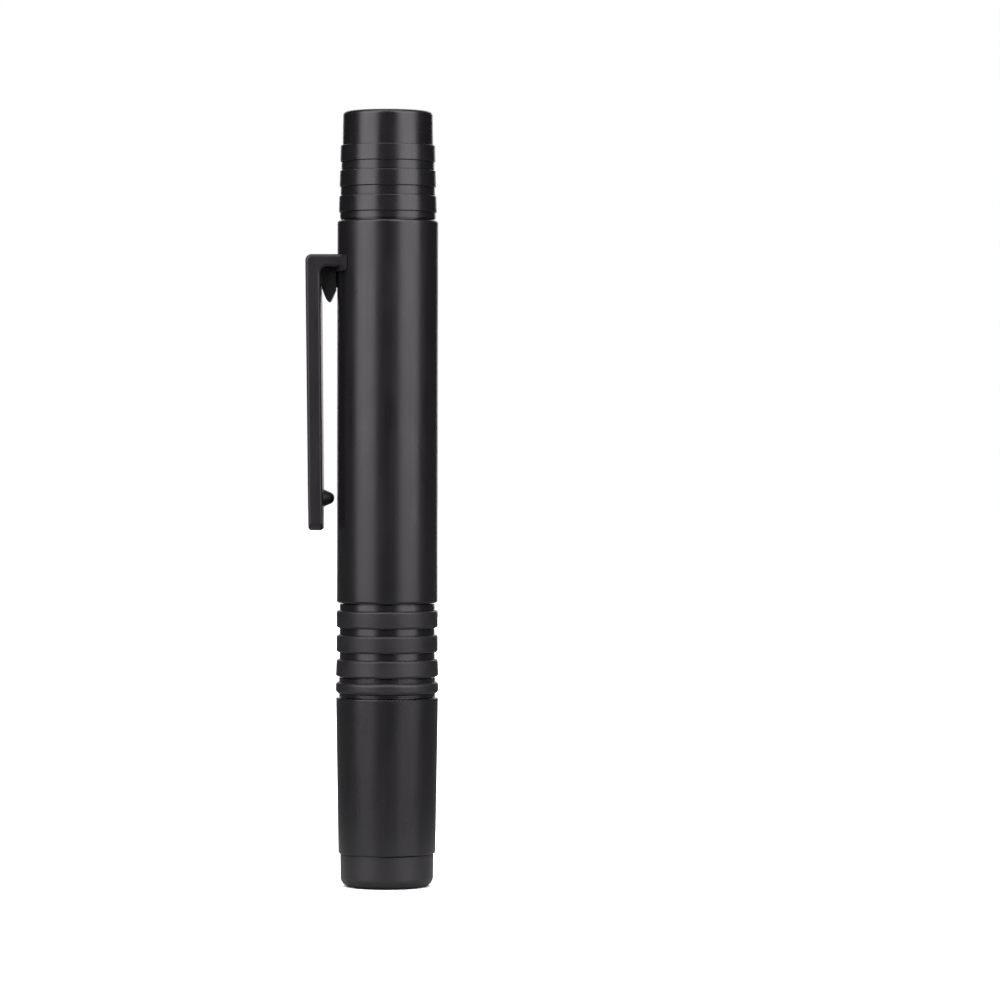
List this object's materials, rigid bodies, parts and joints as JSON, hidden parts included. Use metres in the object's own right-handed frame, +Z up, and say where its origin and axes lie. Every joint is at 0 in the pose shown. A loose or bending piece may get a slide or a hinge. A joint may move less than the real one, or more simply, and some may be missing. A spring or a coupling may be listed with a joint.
{
  "type": "lens cleaning pen",
  "caption": "Pocket lens cleaning pen with a sliding brush worked by its clip, a ribbed nose and collar, and a charged tip under a long pull-off cap.",
  "frame": {"origin": "centre of the cap's flat end face, which the pen stands on", "axes": "+Z up the pen's axis towards the brush's mouth, -X towards the clip"},
  "size_m": [0.021, 0.0162, 0.1228],
  "materials": {
    "satin_black_abs": "satin",
    "black_acetal": "satin",
    "grip_rubber": "matte",
    "soft_rubber": "matte",
    "charged_chamois": "matte",
    "charged_felt": "matte",
    "ferrule_metal": "satin",
    "root_glue": "gloss",
    "brush_hair": "matte"
  },
  "bodies": {
    "barrel": {"barrel": "satin_black_abs", "brush_nose": "satin_black_abs", "sled_stop": "black_acetal", "grip_collar": "satin_black_abs", "grip_ring_1": "grip_rubber", "grip_ring_2": "grip_rubber", "grip_ring_3": "grip_rubber", "tip_holder": "satin_black_abs", "bead_ring": "grip_rubber", "tip_neck": "soft_rubber", "tip_disc": "black_acetal", "cleaning_pad": "charged_chamois"},
    "brush_slide": {"pocket_clip": "satin_black_abs", "slide_key": "black_acetal", "brush_sled": "black_acetal", "sled_ring": "soft_rubber", "brush_ferrule": "ferrule_metal", "bristle_root": "root_glue", "bristles": "brush_hair"},
    "turning_ring": {"spigot_ring": "soft_rubber"},
    "cap": {"cap_shell": "satin_black_abs", "cap_end_plug": "satin_black_abs", "felt_cup": "black_acetal", "compound_felt": "charged_felt"}
  },
  "joints": [
    {"name": "brush_push", "type": "slide", "parent": "barrel", "child": "brush_slide", "axis": [0, 0, 1], "range_m": [0, 0.0175]},
    {"name": "cap_twist", "type": "hinge", "parent": "barrel", "child": "turning_ring", "pos_m": [0, 0, 0.024], "axis": [0, 0, 1], "continuous": true},
    {"name": "cap_pull", "type": "slide", "parent": "turning_ring", "child": "cap", "axis": [0, 0, -1], "range_m": [0, 0.03]}
  ]
}
